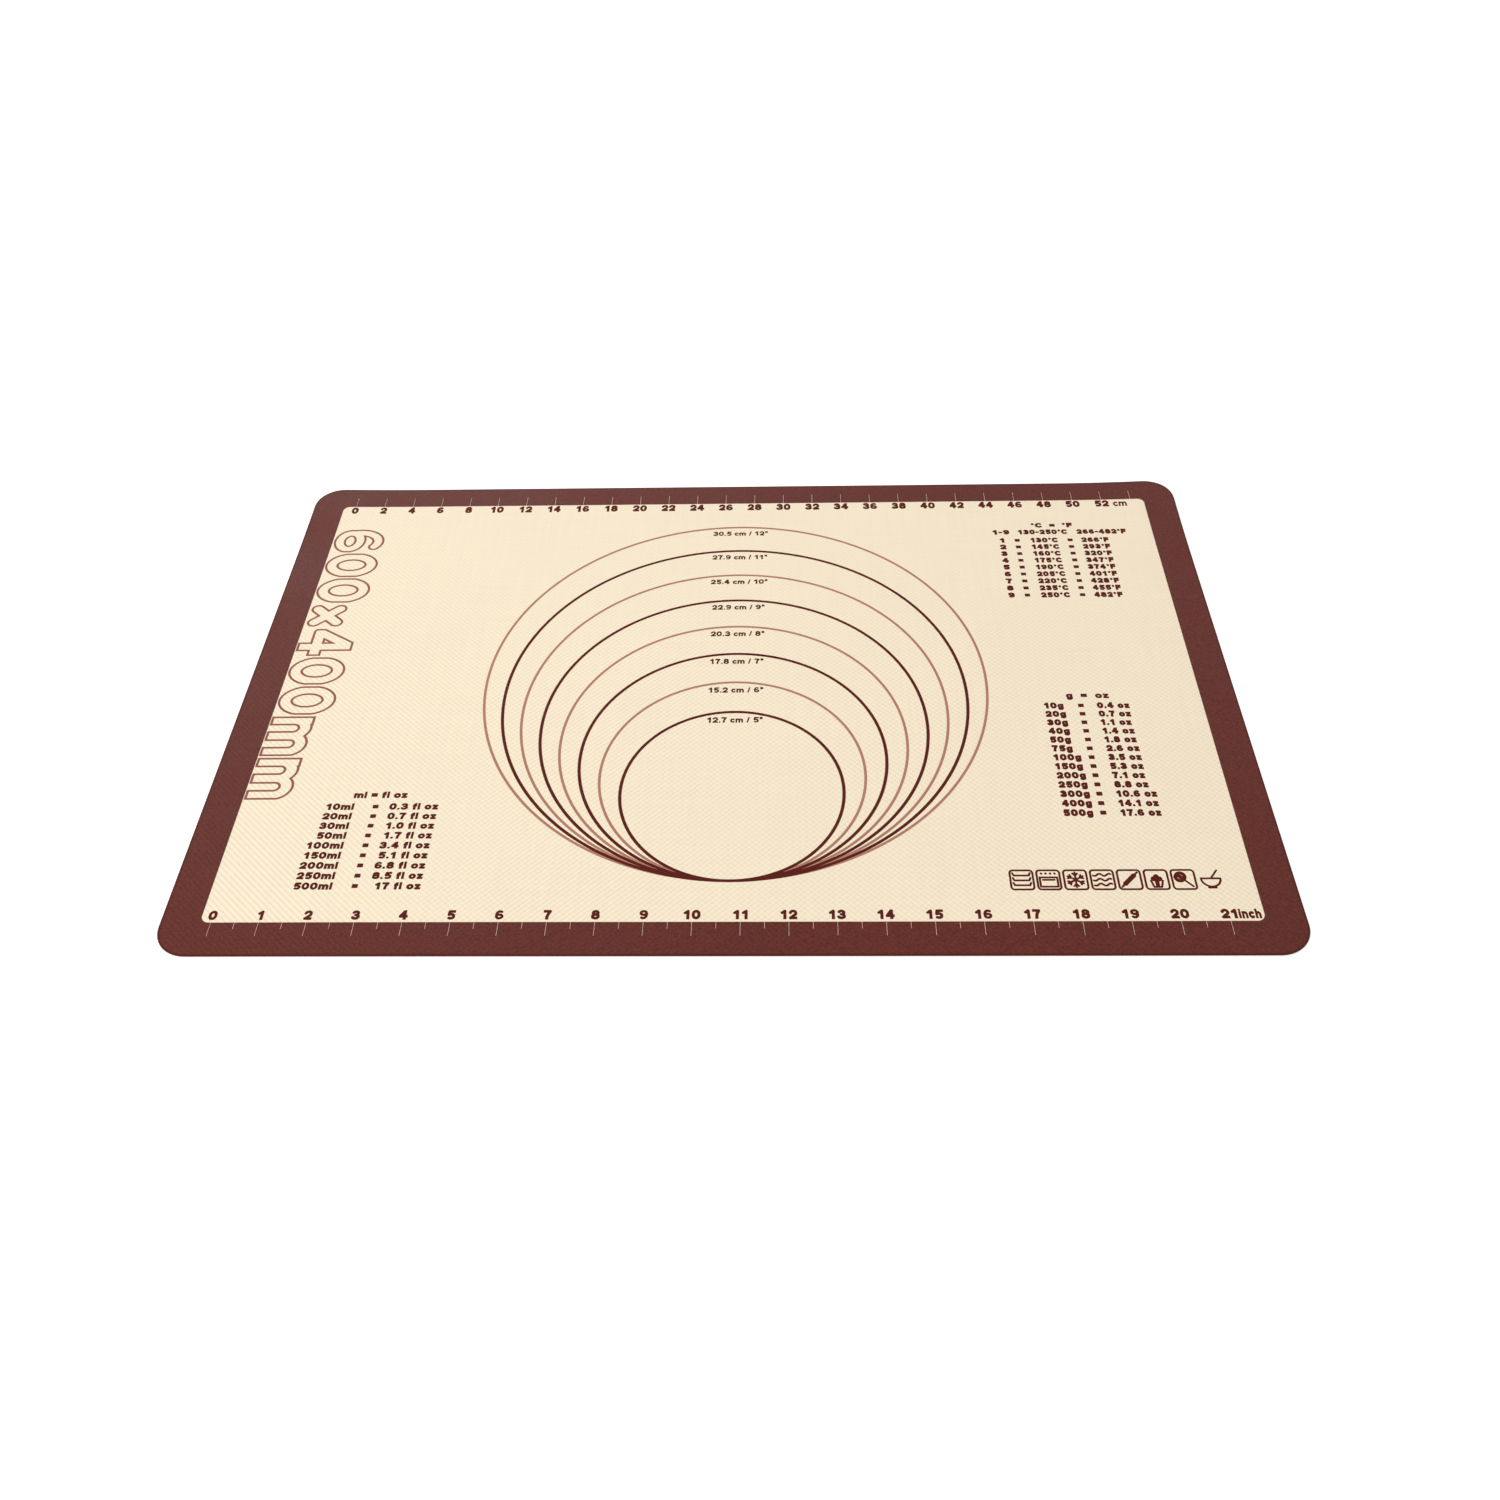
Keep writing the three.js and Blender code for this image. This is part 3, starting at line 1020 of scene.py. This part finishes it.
light_ink = printed_ink("light_ink", (0.445, 0.203, 0.146))
outline_ink = printed_ink("outline_ink", (0.3, 0.105, 0.078))

# Pieces of the mat

coat = coat_plan()
under_coat = layer_piece("under_coat_sheet", coat, underside, "cream_silicone", "under_coat")
cloth = layer_piece("glass_cloth_sheet", coat, glass, "glass_weave", "glass_cloth")
top_coat = layer_piece("top_coat_sheet", coat, cream, "cream_silicone", "top_coat")
border = layer_piece("border_frame", border_plan(), brown, "brown_silicone", "border_print")
seal = piece(edge_seal_mesh(), brown_seal, "brown_silicone", "edge_seal")

for index in range(RINGS):
    ink, slot = (light_ink, "light_ink") if ring_is_light(index) else (dark_ink, "dark_ink")
    layer_piece(f"ring_line_{index + 1}", ring_plan(index), ink, slot, ring_node(index))
rulers = (inch_ruler(), centimetre_ruler(), ring_labels())
tables = (volume_table(), weight_table(), temperature_table())
for mesh in (*rulers, *tables, kitchen_signs()):
    piece(mesh, dark_ink, "dark_ink")
piece(outlined_size(), outline_ink, "dark_ink")

# Floor, light and camera: sizes and places in metres

FLOOR_HALF = 6
FLOOR_LEVEL = -0.0001
FLOOR_DARK, FLOOR_LIGHT = 0.9, 0.92

# The floor's own white, which grows with the distance from the mat
GLOW_SPAN, GLOW = (0.6, 3), (0.4, 0.62)

SKY_STRENGTH = 0.43

# Camera, solved from the rulers and rings: its place, direction and roll, and its lens in mm
CAMERA_PLACE = (0.0314, -0.6109, 0.5926)
CAMERA_AHEAD = (-0.02656, 0.68386, -0.72915)
CAMERA_ROLL = math.radians(-1.918)
CAMERA_LENS = 33.458
CAMERA_SENSOR = 36
CAMERA_NEAREST = 0.01


def floor_material():
    """Pale matt floor, a little cloudy, that looks white and keeps the mat's shadow."""
    made, tree, shader = new_material("floor")
    place = object_place(tree)
    clouds = noise(tree, place, scale=3, detail=2)
    tint = mixed(tree, clouds, [FLOOR_DARK] * 3, [FLOOR_LIGHT] * 3)
    tree.links.new(tint, shader.inputs["Base Color"])
    shader.inputs["Roughness"].default_value = 0.9
    shader.inputs["Specular IOR Level"].default_value = 0
    shader.inputs["Emission Color"].default_value = (1, 1, 1, 1)
    away = tree.nodes.new("ShaderNodeVectorMath")
    away.operation = "LENGTH"
    tree.links.new(place, away.inputs[0])
    glow = ranged(tree, away.outputs["Value"], GLOW_SPAN, GLOW)
    tree.links.new(maths(tree, "MULTIPLY", seen_rays(tree), glow), shader.inputs["Emission Strength"])
    return made


def floor():
    sides = ((-1, -1), (1, -1), (1, 1), (-1, 1))
    corners = [(x * FLOOR_HALF, y * FLOOR_HALF, FLOOR_LEVEL) for x, y in sides]
    mesh = bpy.data.meshes.new("floor")
    mesh.from_pydata(corners, [], [(0, 1, 2, 3)])
    mesh.materials.append(floor_material())
    thing = bpy.data.objects.new("floor", mesh)
    scene.collection.objects.link(thing)


def sky():
    """White where it is seen, and a plain soft light on the mat."""
    world = bpy.data.worlds.new("studio")
    world.use_nodes = True
    tree = world.node_tree
    back = tree.nodes["Background"]
    back.inputs["Color"].default_value = (1, 1, 1, 1)
    strength = ranged(tree, seen_rays(tree), (0, 1), (SKY_STRENGTH, 1))
    tree.links.new(strength, back.inputs["Strength"])
    scene.world = world


def softbox(name, place, size, power):
    """An area lamp that faces the mat's middle."""
    light = bpy.data.lights.new(name, "AREA")
    light.shape = "RECTANGLE"
    light.size, light.size_y = size
    light.energy = power
    thing = bpy.data.objects.new(name, light)
    thing.location = place
    thing.rotation_mode = "QUATERNION"
    thing.rotation_quaternion = (-Vector(place)).to_track_quat("-Z", "Y")
    thing.visible_camera = False
    scene.collection.objects.link(thing)


def camera():
    ahead = Vector(CAMERA_AHEAD).normalized()
    level = ahead.cross(Vector((0, 0, 1))).normalized()
    upright = level.cross(ahead)
    right = math.cos(CAMERA_ROLL) * level + math.sin(CAMERA_ROLL) * upright
    up = math.cos(CAMERA_ROLL) * upright - math.sin(CAMERA_ROLL) * level
    lens = bpy.data.cameras.new("camera")
    lens.sensor_width = CAMERA_SENSOR
    lens.lens = CAMERA_LENS
    lens.clip_start = CAMERA_NEAREST
    thing = bpy.data.objects.new("camera", lens)
    turn = Matrix((right, up, -ahead)).transposed().to_4x4()
    thing.matrix_world = Matrix.Translation(CAMERA_PLACE) @ turn
    scene.collection.objects.link(thing)
    scene.camera = thing


scene.view_settings.view_transform = "Standard"
floor()
sky()
softbox("key", place=(-1.3, -0.8, 2.2), size=(1.4, 1.4), power=31)
softbox("gloss_left", place=(-1.2, 2.8, 2.4), size=(2.2, 1.6), power=43)
softbox("gloss_right", place=(1.7, 2.6, 2.6), size=(0.9, 1.6), power=13)
camera()
